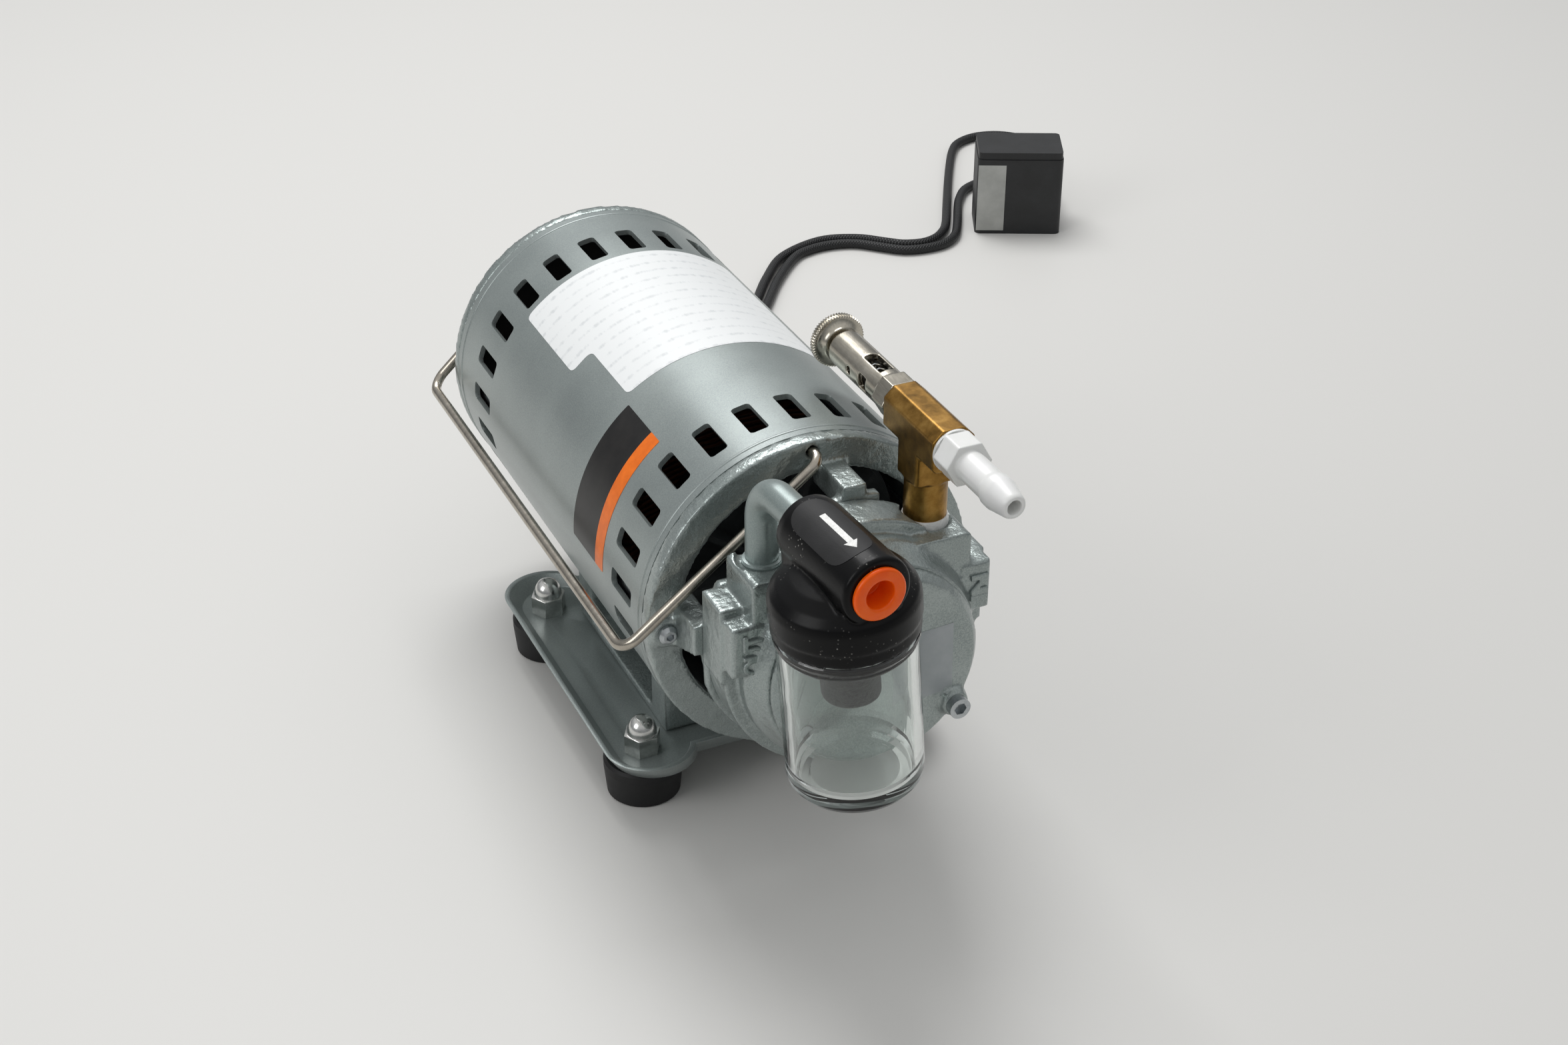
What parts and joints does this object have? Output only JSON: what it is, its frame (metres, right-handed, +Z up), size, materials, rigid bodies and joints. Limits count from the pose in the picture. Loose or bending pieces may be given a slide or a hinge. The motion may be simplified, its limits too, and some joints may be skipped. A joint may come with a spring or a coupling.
{
  "type": "vacuum pump",
  "caption": "Oil free rotary vane vacuum pump with a slotted round motor, exhaust filter jar, inlet regulating valve, wire carry handle and a footed tray.",
  "frame": {"origin": "on the floor, in the middle of the four rubber feet", "axes": "+Z up, +Y along the motor shaft from the pump head towards the rear of the motor, +X towards the inlet side"},
  "size_m": [0.4628, 0.6335, 0.1732],
  "materials": {
    "shell_paint": "satin",
    "casting_paint": "satin",
    "machined_steel": "machined",
    "core_steel": "matte",
    "copper_wire": "lacquered",
    "fan_plastic": "matte",
    "carbon": "matte",
    "black_plastic": "matte",
    "orange_plastic": "gloss",
    "felt": "fuzzy",
    "black_rubber": "matte",
    "jar_glass": "clear",
    "brass": "turned",
    "white_tape": "matte",
    "clear_nylon": "translucent",
    "nickel": "nickel plated",
    "stainless": "drawn wire",
    "black_sleeve": "braided"
  },
  "bodies": {
    "pump": {"motor_shell": "shell_paint", "rear_casting": "casting_paint", "front_casting": "casting_paint", "through_bolts": "machined_steel", "stator_core": "core_steel", "front_winding": "copper_wire", "rear_winding": "copper_wire", "front_bearing_outer": "machined_steel", "rear_bearing_outer": "machined_steel", "pump_body": "casting_paint", "front_plate": "casting_paint", "plate_screws": "machined_steel", "exhaust_elbow": "casting_paint", "filter_cap": "black_plastic", "filter_post": "machined_steel", "felt_element": "felt", "brass_tee": "brass", "seal_tape": "white_tape", "hose_barb": "clear_nylon", "valve_body": "nickel", "base_tray": "shell_paint", "motor_saddle": "casting_paint", "acorn_nuts": "nickel", "foot_studs": "machined_steel", "foot_front_left": "black_rubber", "foot_front_right": "black_rubber", "foot_rear_left": "black_rubber", "foot_rear_right": "black_rubber", "cord_gland": "black_plastic", "motor_lead": "black_sleeve", "capacitor_box": "black_plastic", "box_lid": "black_plastic", "mains_lead": "black_sleeve", "lead_coil": "black_sleeve", "plug_lead": "black_sleeve", "mains_plug": "black_rubber", "plug_pins": "brass"},
    "rotor": {"front_bearing_inner": "machined_steel", "rear_bearing_inner": "machined_steel", "motor_shaft": "machined_steel", "rotor_core": "core_steel", "front_fan": "fan_plastic", "rear_fan": "fan_plastic", "pump_rotor": "machined_steel", "carbon_vanes": "carbon"},
    "handle": {"carry_handle": "stainless"},
    "seat": {"spring_seat": "machined_steel"},
    "knob": {"adjusting_knob": "nickel"},
    "poppet": {"valve_poppet": "brass", "valve_spring": "stainless"},
    "plug": {"outlet_plug": "orange_plastic"},
    "gasket": {"jar_gasket": "black_rubber"},
    "jar": {"glass_jar": "jar_glass"}
  },
  "joints": [
    {"name": "rotor_spin", "type": "hinge", "parent": "pump", "child": "rotor", "pos_m": [0, 0, 0.092], "axis": [0, 1, 0], "continuous": true},
    {"name": "handle_swing", "type": "hinge", "parent": "pump", "child": "handle", "pos_m": [0, 0, 0.148], "axis": [0, 1, 0], "range_deg": [0, 160]},
    {"name": "seat_slide", "type": "slide", "parent": "pump", "child": "seat", "axis": [0, 1, 0], "range_m": [-0.0026, 0.0011]},
    {"name": "knob_turn", "type": "hinge", "parent": "seat", "child": "knob", "pos_m": [0.0295, -0.0461, 0.1634], "axis": [0, 1, 0], "range_deg": [-900, 360]},
    {"name": "poppet_lift", "type": "slide", "parent": "pump", "child": "poppet", "axis": [0, 1, 0], "range_m": [0, 0.003], "stiffness_N_per_m": 150, "springref_m": -0.004, "deforming": ["valve_spring"]},
    {"name": "plug_pull", "type": "slide", "parent": "pump", "child": "plug", "axis": [0.0663, -0.9978, 0], "range_m": [0, 0.025]},
    {"name": "gasket_drop", "type": "slide", "parent": "pump", "child": "gasket", "axis": [0.0783, 0.0052, -0.9969], "range_m": [0, 0.0081]},
    {"name": "jar_turn", "type": "hinge", "parent": "gasket", "child": "jar", "pos_m": [-0.02613, -0.16129, 0.1567], "axis": [-0.0783, -0.0052, 0.9969], "range_deg": [-720, 0]}
  ],
  "couplings": [
    {"joint": "seat_slide", "follows": "knob_turn", "m_per_rad": 0.00015915},
    {"joint": "gasket_drop", "follows": "jar_turn", "m_per_rad": -0.00063662}
  ]
}
